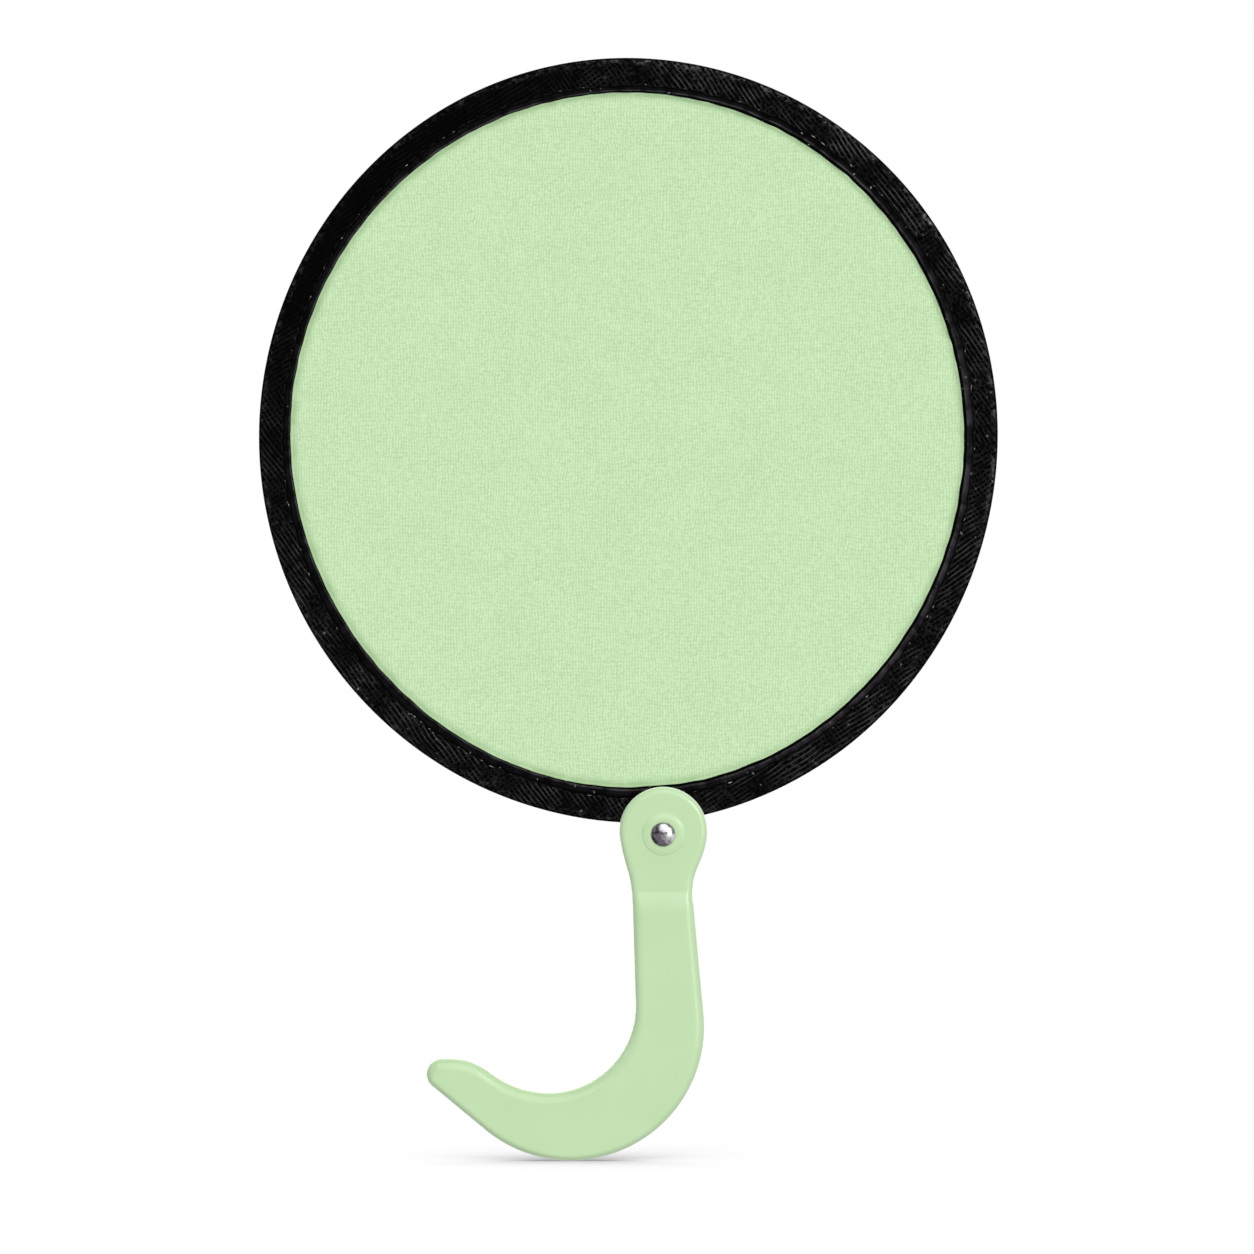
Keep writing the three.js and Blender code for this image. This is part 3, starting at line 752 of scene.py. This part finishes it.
def make_handle(material):
    outline = handle_outline()
    tangent = np.roll(outline, -1, axis=0) - np.roll(outline, 1, axis=0)
    inward = np.stack((tangent[:, 1], -tangent[:, 0]), axis=1)
    inward /= np.linalg.norm(inward, axis=1)[:, None]
    fillet_reach, fillet_depth = front_fillet(outline[:, 1])
    on_hook = eased(outline[:, 1], HOOK_FILLET_START, HOOK_FILLET_END)
    fillet_reach *= 1 - (1 - UNDERSIDE_SHARE) * on_hook * np.clip(2 * inward[:, 1], 0, 1)

    rings = []
    front_angles = np.radians(np.linspace(90, 0, FRONT_RINGS))
    for angle in front_angles:
        places = outline + inward * (fillet_reach * (1 - math.cos(angle)))[:, None]
        depth = face_depth(places[:, 1]) + fillet_depth * (1 - math.sin(angle))
        rings.append(np.column_stack((places[:, 0], depth, places[:, 1])))
    for angle in np.radians(np.linspace(0, 90, REAR_RINGS)):
        places = outline + inward * REAR_FILLET * (1 - math.cos(angle))
        depth = np.full(len(places), HANDLE_REAR - REAR_FILLET * (1 - math.sin(angle)))
        rings.append(np.column_stack((places[:, 0], depth, places[:, 1])))
    points = np.concatenate(rings)
    count = len(outline)
    faces = grid_faces(len(rings), count, False, True)

    def add_face(start, loop, inner_points, depth_at, turn):
        """Fills a face inside a loop of points that stand in the mesh from an index on.

        Gives the index of the first point round the bore.
        """
        nonlocal points
        flat, triangles = filled_face(loop, inner_points)
        extra = flat[count:]
        index = np.append(np.arange(start, start + count), len(points) + np.arange(len(extra)))
        points = np.concatenate((points, np.column_stack((extra[:, 0], depth_at(extra), extra[:, 1]))))
        faces.extend(index[triangles][:, ::turn].tolist())
        return int(index[count])

    front_loop, rear_loop = rings[0][:, [0, 2]], rings[-1][:, [0, 2]]
    front_points = inside_points(front_loop, FACE_STEP) + boss_points()
    rear_start = (len(rings) - 1) * count
    front_bore = add_face(0, front_loop, front_points, lambda p: face_depth(p[:, 1]) - boss_rise(p), 1)
    rear_bore = add_face(rear_start, rear_loop, [], lambda p: np.full(len(p), HANDLE_REAR), -1)
    for step in range(BORE_STEPS):
        after = (step + 1) % BORE_STEPS
        faces.append((front_bore + step, front_bore + after, rear_bore + after, rear_bore + step))
    front_count = FRONT_RINGS * count
    from_edge = np.full(len(points), LUG_RADIUS)
    from_edge[:front_count] = np.outer(1 - np.cos(front_angles), fillet_reach).ravel()
    from_edge[front_count:len(rings) * count] = 0
    uv = [(points[i][0], from_edge[i]) for face in faces for i in face]
    piece = mesh_object("hook_handle", points, faces, material, uv)
    finished(piece, "handle", "handle_plastic", "handle")


# Rivet and washers.
def dome(seat, direction, steps=14):
    """Domed head from its axis to its seat, as (radius, depth) pairs."""
    rise = RIVET_HEAD_HEIGHT - RIVET_HEAD_RIM
    sphere = (RIVET_HEAD_RADIUS ** 2 + rise ** 2) / (2 * rise)
    opening = math.asin(RIVET_HEAD_RADIUS / sphere)
    pairs = []
    for angle in np.linspace(0, opening, steps):
        drop = sphere * (1 - math.cos(angle))
        pairs.append((sphere * math.sin(angle), seat + direction * (RIVET_HEAD_HEIGHT - drop)))
    pairs.append((RIVET_HEAD_RADIUS, seat + direction * EDGE_BREAK))
    pairs.append((RIVET_HEAD_RADIUS - EDGE_BREAK, seat))
    return pairs


def make_rivet(material):
    seat = RIVET_LOW.y + RIVET_HEAD_HEIGHT
    end = RIVET_HIGH.y
    post = [(RIVET_POST_RADIUS, seat), (RIVET_POST_RADIUS, end - EDGE_BREAK),
            (RIVET_POST_RADIUS - EDGE_BREAK, end), (0, end)]
    piece = turned("rivet_head_and_post", dome(seat, -1) + post, material)
    finished(piece, "handle", "rivet_metal", "rivet")


def make_rivet_cap(material):
    front = CAP_LOW.y
    hole_end = front + RIVET_CAP_GRIP + SEAT_GAP
    hole_radius = RIVET_POST_RADIUS + SEAT_GAP
    hole = [(0, hole_end), (hole_radius, hole_end), (hole_radius, front)]
    piece = turned("rivet_rear_cap", hole + dome(front, 1)[::-1], material)
    finished(piece, "handle", "rivet_metal", "rivet_cap")


def make_washer(name, material, slot, node, low, high):
    near, far, size = low.y, high.y, EDGE_BREAK
    profile = [(BORE_RADIUS, near + size), *corner(BORE_RADIUS + size, near + size, size, 180, 270)]
    profile += corner(WASHER_RADIUS - size, near + size, size, 270, 360)
    profile += corner(WASHER_RADIUS - size, far - size, size, 0, 90)
    profile += corner(BORE_RADIUS + size, far - size, size, 90, 180)
    profile.append(profile[0])
    finished(turned(name, profile, material), "handle", slot, node)


# Disc.
def sway(angles, terms):
    """Slow departure from the ellipse."""
    total = np.zeros_like(angles)
    for size, waves, phase in terms:
        total += size * np.sin(waves * angles + math.radians(phase))
    return total


def near_rivet(angles, reach):
    """1 at the rivet and 0 further round the rim than the reach."""
    return np.exp(-((np.mod(angles, FULL_TURN) - math.pi) / reach) ** 2)


def on_fan(across, along, depth):
    """Place by distances from the rivet, across and along the disc's long axis, and from the disc's plane."""
    x = PIVOT.x + across * math.cos(FAN_LEAN) - along * math.sin(FAN_LEAN)
    z = PIVOT.z + across * math.sin(FAN_LEAN) + along * math.cos(FAN_LEAN)
    return np.stack(np.broadcast_arrays(x, FAN_PLANE + depth, z), axis=-1)


def ripple(angles, waves, size, seed):
    """Uneven wave round the rim: a sum of sines with seeded phases, about as large as the size."""
    draw = random.Random(seed)
    total = np.zeros_like(angles)
    for count in waves:
        total += np.sin(count * angles + draw.uniform(0, FULL_TURN))
    return size * total / math.sqrt(len(waves) / 2)


def rim_swell(angles):
    """How far the rim lies outside its ellipse."""
    return sway(angles, RIM_SWAY) + RIVET_BULGE * near_rivet(angles, RIVET_BULGE_ANGLE)


def rim_points(angles, inset, depth):
    """Points of the disc by their angle, clockwise from its top, distance from the edge and depth."""
    reach = RIM_HALF_HEIGHT - inset + rim_swell(angles)
    across = reach * np.sin(angles) * RIM_HALF_WIDTH / RIM_HALF_HEIGHT
    along = reach * np.cos(angles) + RIVET_TO_RIM + RIM_HALF_HEIGHT
    return on_fan(across, along, depth)


def edge_inset(angles):
    """Where the binding's inner edge lies, from the outer edge."""
    fine = ripple(angles, range(17, 90, 6), EDGE_LUMPS, 11)
    tuck = LUG_TUCK * near_rivet(angles, LUG_TUCK_ANGLE)
    return BINDING_WIDTH - sway(angles, EDGE_SWAY) + rim_swell(angles) + fine + tuck


def stitch_inset(angles):
    """Where the stitch line lies, from the outer edge."""
    at_top = near_rivet(angles + math.pi, TOP_SEAM_ANGLE)
    return STITCH_INSET + TOP_SEAM * at_top + ripple(angles, range(25, 110, 7), SEAM_WANDER, 51)


def stitch_count():
    mean = math.sqrt((RIM_HALF_HEIGHT ** 2 + RIM_HALF_WIDTH ** 2) / 2) - STITCH_INSET
    return round(FULL_TURN * mean / STITCH_PITCH)


def tape_depth(share, from_stitch):
    """Half depth of the tape's outer face, by the share of the way from the crown to the stitch line."""
    depth = CROWN_DEPTH + (SEAM_DEPTH - CROWN_DEPTH) * min(share, 1) ** 1.25
    return depth - GROOVE_DEPTH * np.exp(-(from_stitch / GROOVE_WIDTH) ** 2)


def tape_side(angles, side, seed):
    """Rows of (inset, depth) over one face of the tape, from the crown to its folded inner edge.

    The share runs from 0 at the crown to 1 at the stitch line and to 2 at the fold.
    """
    edge = edge_inset(angles) - FOLD_RADIUS
    seam = stitch_inset(angles)
    lumps = ripple(angles, range(9, 60, 4), CASING_LUMPS, seed)
    waves = ripple(angles, range(21, 120, 7), FLANGE_LUMPS, seed + 1)
    pucker = PUCKER * np.cos(stitch_count() * angles)
    into_overlap = np.mod(angles, FULL_TURN) - TAPE_OVERLAP_END
    overlapped = (into_overlap > 0) & (into_overlap < TAPE_OVERLAP_LENGTH)
    rise = np.where(overlapped, TAPE_OVERLAP_RISE, 0)
    rows = []
    casing_shares = np.linspace(0, 1, CASING_ROWS) ** 0.8
    for share in np.append(casing_shares, 1 + np.linspace(0, 1, FLANGE_ROWS)[1:]):
        if share <= 1:
            inset = CROWN_INSET + (seam - CROWN_INSET) * share
        else:
            inset = seam + (edge - seam) * (share - 1)
        near = np.exp(-((inset - seam) / (4 * GROOVE_WIDTH)) ** 2)
        depth = tape_depth(share, inset - seam) + near * pucker + rise
        depth = depth + lumps * math.sin(math.pi * min(share, 1)) + waves * max(share - 1, 0)
        rows.append((inset, side * depth))
    last = np.abs(rows[-1][1])
    for angle in np.radians(np.linspace(*FOLD_ANGLES, FOLD_ROWS)):
        inset = edge + FOLD_RADIUS * math.cos(angle)
        rows.append((inset, side * (last - FOLD_RADIUS * (1 - math.sin(angle)))))
    return rows


def tape_inside(angles, side):
    """Rows over the inner face of the tape on one side, from the panel to the hoop."""
    skin = CLOTH_THICKNESS / 2 + CLOTH_CLEARANCE
    edge = edge_inset(angles) - FOLD_RADIUS
    rows = [(edge, skin), (STITCH_INSET, skin), (0.85 * STITCH_INSET, 1.5 * skin),
            (CROWN_INSET, CROWN_DEPTH - TAPE_THICKNESS), (TAPE_THICKNESS, 0.5 * CROWN_DEPTH)]
    return [(inset, side * depth) for inset, depth in rows]


def crown():
    """Rows round the outer fold, from the front of the crown to its back."""
    angles = np.radians(np.linspace(90, -90, CROWN_ROWS)[1:-1])
    return [(CROWN_INSET * (1 - math.cos(angle)), -CROWN_DEPTH * math.sin(angle)) for angle in angles]


def cut_clip_slot(piece):
    """Cuts the slot through the outer fold where the clip reaches the hoop."""
    half_width, half_depth = CLIP_SLOT_WIDTH / 2, 4 * CROWN_DEPTH
    points = []
    for across in (-half_width, half_width):
        for depth in (-half_depth, half_depth):
            for along in (0, RIVET_TO_RIM + CLIP_SLOT_DEPTH):
                points.append(on_fan(across, along, depth))
    faces = [(0, 1, 3, 2), (4, 6, 7, 5), (0, 4, 5, 1), (2, 3, 7, 6), (0, 2, 6, 4), (1, 5, 7, 3)]
    cutter = mesh_object("slot_cutter", points, faces, piece.data.materials[0])
    cut = piece.modifiers.new("slot", "BOOLEAN")
    cut.operation = "DIFFERENCE"
    cut.object = cutter
    cut.solver = "EXACT"
    graph = bpy.context.evaluated_depsgraph_get()
    mesh = bpy.data.meshes.new_from_object(piece.evaluated_get(graph))
    piece.modifiers.clear()
    piece.data = mesh
    bpy.data.objects.remove(cutter)


def make_binding(material):
    columns = stitch_count() * STEPS_PER_STITCH
    angles = np.linspace(0, FULL_TURN, columns, endpoint=False)
    outside = tape_side(angles, -1, 21)[::-1] + crown() + tape_side(angles, 1, 31)
    inside = tape_inside(angles, 1) + tape_inside(angles, -1)[::-1]
    rows = [np.broadcast_arrays(inset, depth, angles)[:2] for inset, depth in outside + inside]
    points = np.concatenate([rim_points(angles, inset, depth) for inset, depth in rows])
    faces = grid_faces(len(rows), columns, True, True)

    section = np.array([np.mean(row, axis=1) for row in rows + rows[:1]])
    inset = section[:, 0]
    length = (RIM_HALF_HEIGHT - BINDING_WIDTH / 2) * FULL_TURN
    uv = []
    for row in range(len(rows)):
        for column in range(columns):
            near, far = length * column / columns, length * (column + 1) / columns
            uv += [(near, inset[row]), (far, inset[row]), (far, inset[row + 1]), (near, inset[row + 1])]
    piece = mesh_object("bias_binding", points, faces, material, uv)
    cut_clip_slot(piece)
    finished(piece, "fan", "binding_tape", "edge_binding")


def make_stitches(material):
    """Sewing thread of the binding, on the front and the back: one tube for each stitch."""
    count, sides, rings = stitch_count(), THREAD_SIDES, THREAD_RINGS
    draw = random.Random(5)
    share = np.linspace(0, 1, rings)
    points, faces = [], []
    for side in (-1, 1):
        for stitch in range(count):
            slant = draw.uniform(-STITCH_SLANT, STITCH_SLANT)
            lift = draw.uniform(*STITCH_LIFT)
            half = STITCH_LENGTH / 2 * draw.uniform(*STITCH_SPREAD)
            angles = (stitch + 0.5 + (2 * share - 1) * half) * FULL_TURN / count
            inset = stitch_inset(angles) + slant * (share - 0.5)
            depth = SEAM_DEPTH - GROOVE_DEPTH + lift * np.sin(math.pi * share) ** 0.7
            middles = rim_points(angles, inset, side * depth)
            outward = rim_points(angles, inset - THREAD_RADIUS, side * depth) - middles
            girth = THREAD_END + (1 - THREAD_END) * np.sin(math.pi * share) ** 0.5
            start = len(points)
            for ring in range(rings):
                for step in range(sides):
                    angle = FULL_TURN * step / sides
                    lifted = np.array((0, THREAD_RADIUS * math.sin(angle), 0))
                    offset = girth[ring] * (outward[ring] * math.cos(angle) + lifted)
                    points.append(middles[ring] + offset)
            tube = grid_faces(rings, sides, False, True)
            caps = [tuple(range(sides))[::-1], tuple(range((rings - 1) * sides, rings * sides))]
            faces += [tuple(start + i for i in face) for face in tube + caps]
    piece = mesh_object("binding_stitches", points, faces, material)
    finished(piece, "fan", "binding_tape")


def panel_relief(angles, inside, seed):
    """How far the cloth lies out of its plane, by its distance inside the binding's edge.

    It dips to a shallow crease and then climbs to the binding.
    """
    climb = CLIMB * np.exp(-(inside / CLIMB_REACH) ** 2)
    crease = CREASE * np.exp(-((inside - CREASE_INSET) / CREASE_REACH) ** 2)
    pulls = ripple(angles, range(31, 140, 9), SEAM_PULL, seed) + STITCH_PULL * np.cos(stitch_count() * angles)
    slack = ripple(angles, range(5, 18, 3), SLACK, seed + 1)
    near = np.exp(-inside / PULL_REACH)
    far = np.exp(-((inside - SLACK_INSET) / SLACK_REACH) ** 2)
    return -climb + crease - near * pulls - far * slack


def make_panel(material):
    columns = DISC_COLUMNS
    angles = np.linspace(0, FULL_TURN, columns, endpoint=False)
    edge = edge_inset(angles)
    inside = [distance * MM for distance in (*SEAM_RINGS, *OPEN_RINGS)]
    rows = [(PANEL_INSET, 0), (edge - PANEL_TUCK, 0)]
    rows += [(edge + distance, panel_relief(angles, distance, 41)) for distance in inside]
    half = CLOTH_THICKNESS / 2
    points, faces = [], []
    for side in (-1, 1):
        start = len(points)
        for inset, relief in rows:
            points += list(rim_points(angles, inset, relief + side * half))
        points.append(rim_points(np.zeros(1), RIM_HALF_HEIGHT, side * half)[0])
        quads = grid_faces(len(rows), columns, False, True)
        last = (len(rows) - 1) * columns
        centre = len(rows) * columns
        quads += [(last + i, last + (i + 1) % columns, centre) for i in range(columns)]
        for face in quads:
            corners = tuple(start + i for i in face)
            faces.append(corners[::-1] if side < 0 else corners)
    back = len(points) // 2
    for column in range(columns):
        after = (column + 1) % columns
        faces.append((column, after, back + after, back + column))
    seam_distance = np.append(np.repeat([0, 0] + inside, columns), RIM_HALF_HEIGHT)
    seam_length = np.append(np.tile(angles, len(rows)), 0) * RIM_HALF_HEIGHT
    uv = [(seam_length[i % back], seam_distance[i % back]) for face in faces for i in face]
    piece = mesh_object("cloth_panel", points, faces, material, uv)
    finished(piece, "fan", "panel_cloth", "fabric_panel")


def make_hoop(material):
    """Open spring hoop inside the fold, whose ends meet in the clip."""
    columns = DISC_COLUMNS
    gap = HOOP_GAP / 2 / RIM_HALF_HEIGHT
    angles = np.linspace(-math.pi + gap, math.pi - gap, columns)
    near, far = HOOP_INSET, HOOP_INSET + HOOP_THICKNESS
    depth, size = HOOP_HALF_WIDTH, EDGE_BREAK
    section = [(near + size, -depth), (near, size - depth), (near, depth - size), (near + size, depth),
               (far - size, depth), (far, depth - size), (far, size - depth), (far - size, -depth)]
    still = rim_swell(angles) * near_rivet(angles, SWAY_STILL)
    points = np.concatenate([rim_points(angles, inset + still, y) for inset, y in section])
    faces = grid_faces(len(section), columns, True, False)
    starts = tuple(row * columns for row in range(len(section)))
    faces += [starts, tuple(start + columns - 1 for start in starts)[::-1]]
    piece = mesh_object("spring_hoop", points, faces, material)
    finished(piece, "fan", "spring_steel", "hoop")


def dress_clip(material):
    """The clip keeps its CAD shape and gets its finish."""
    node = frame["nodes"]["hoop_clip"]
    node.data.materials.clear()
    node.data.materials.append(material)


# Stage.
def make_camera():
    data = bpy.data.cameras.new("photo_camera")
    data.sensor_width = SENSOR_WIDTH
    data.lens = SENSOR_WIDTH * CAMERA_DISTANCE * PHOTO_PIXELS_PER_METRE / PHOTO_SIZE
    data.clip_start, data.clip_end = CAMERA_CLIP
    camera = bpy.data.objects.new("photo_camera", data)
    right = (PHOTO_SIZE / 2 - ORIGIN_PIXEL[0]) / PHOTO_PIXELS_PER_METRE
    up = (ORIGIN_PIXEL[1] - PHOTO_SIZE / 2) / PHOTO_PIXELS_PER_METRE
    camera.location = (right, -CAMERA_DISTANCE, up)
    camera.rotation_euler = (math.pi / 2, 0, 0)
    scene.collection.objects.link(camera)
    scene.camera = camera


def make_world():
    """White background, and soft light: stronger from the front, and more of it back up from the floor."""
    world = bpy.data.worlds.new("studio")
    scene.world = world
    world.use_nodes = True
    tree = world.node_tree
    tree.nodes.clear()
    direction = put(tree, "TexCoord").outputs["Generated"]
    axes = parts_of(direction)
    towards_fill = vector_calc("DOT_PRODUCT", direction, TOWARDS_FILL, "Value")
    sky = spread(towards_fill, -1, 1, SKY_LOW, SKY_HIGH)
    below = spread(axes["Z"], -HORIZON, HORIZON, 1, 0)
    strength = put(tree, "Mix", {0: below, 2: sky, 3: FLOOR_GLOW}).outputs[0]
    light = put(tree, "Background", {"Color": WHITE, "Strength": strength})
    white = put(tree, "Background", {"Color": WHITE, "Strength": 1.0})
    path = put(tree, "LightPath").outputs
    mirrored = calc("MAXIMUM", path["Is Glossy Ray"], path["Is Transmission Ray"])
    around = calc("MAXIMUM", below, spread(axes["Y"], *BACKDROP, 0, 1))
    shown = calc("MAXIMUM", path["Is Camera Ray"], times(mirrored, around))
    mixed = put(tree, "MixShader", {0: shown, 1: light.outputs[0], 2: white.outputs[0]})
    output = put(tree, "OutputWorld")
    tree.links.new(mixed.outputs[0], output.inputs["Surface"])


def make_floor():
    """Floor under the hook, clear over the white background but for the contact shadow.

    The disc can swing through it, and the shadow is left out there. The world stands in for its light.
    """
    corners = ((-1, -1), (1, -1), (1, 1), (-1, 1))
    points = [(FLOOR_REACH * x, FLOOR_REACH * y, FLOOR_LEVEL) for x, y in corners]
    made = bpy.data.materials.new("pale_floor")
    made.use_nodes = True
    tree = made.node_tree
    tree.nodes.clear()
    lean = put(tree, "CombineXYZ", {"Y": -math.sin(CONTACT_LEAN), "Z": math.cos(CONTACT_LEAN)})
    above = put(tree, "AmbientOcclusion", {"Distance": CONTACT_REACH, "Normal": lean.outputs[0]})
    below = put(tree, "AmbientOcclusion", {"Distance": CONTACT_REACH}, inside=True)
    contact = spread(above.outputs["AO"], *CONTACT_OPEN, CONTACT_SHADE, 1)
    shade = spread(below.outputs["AO"], CONTACT_CLEAR, 1, 1, contact)
    clear = put(tree, "BsdfTransparent", {"Color": shade})
    output = put(tree, "OutputMaterial")
    tree.links.new(clear.outputs[0], output.inputs["Surface"])
    floor = mesh_object("floor", points, [(0, 1, 2, 3)], made)
    floor.visible_diffuse = False
    floor.visible_glossy = False
    floor.visible_transmission = False
    floor.visible_shadow = False


def make_softbox(name, towards, strength, degrees):
    data = bpy.data.lights.new(name, "SUN")
    data.angle = math.radians(degrees)
    data.energy = strength
    light = bpy.data.objects.new(name, data)
    light.location = towards
    light.rotation_euler = (-Vector(towards)).to_track_quat("-Z", "Y").to_euler()
    scene.collection.objects.link(light)


make_camera()
make_world()
make_floor()
for softbox, settings in SOFTBOXES.items():
    make_softbox(softbox, *settings)
make_handle(mint_plastic())
steel = polished_steel()
make_rivet(steel)
make_rivet_cap(steel)
zinc = plated_steel("zinc_plated_steel", ZINC_COLOUR, 0.3)
make_washer("nylon_spacer", natural_nylon(), "washer_nylon", "spacer_washer", SPACER_LOW, SPACER_HIGH)
make_washer("steel_rear_washer", zinc, "plain_steel", "rear_washer", WASHER_LOW, WASHER_HIGH)
dress_clip(zinc)
make_hoop(plated_steel("spring_steel", SPRING_COLOUR, 0.35))
make_panel(woven_cloth())
make_binding(black_tape())
make_stitches(sewing_thread())

bpy.context.scene.view_settings.view_transform = "Standard"
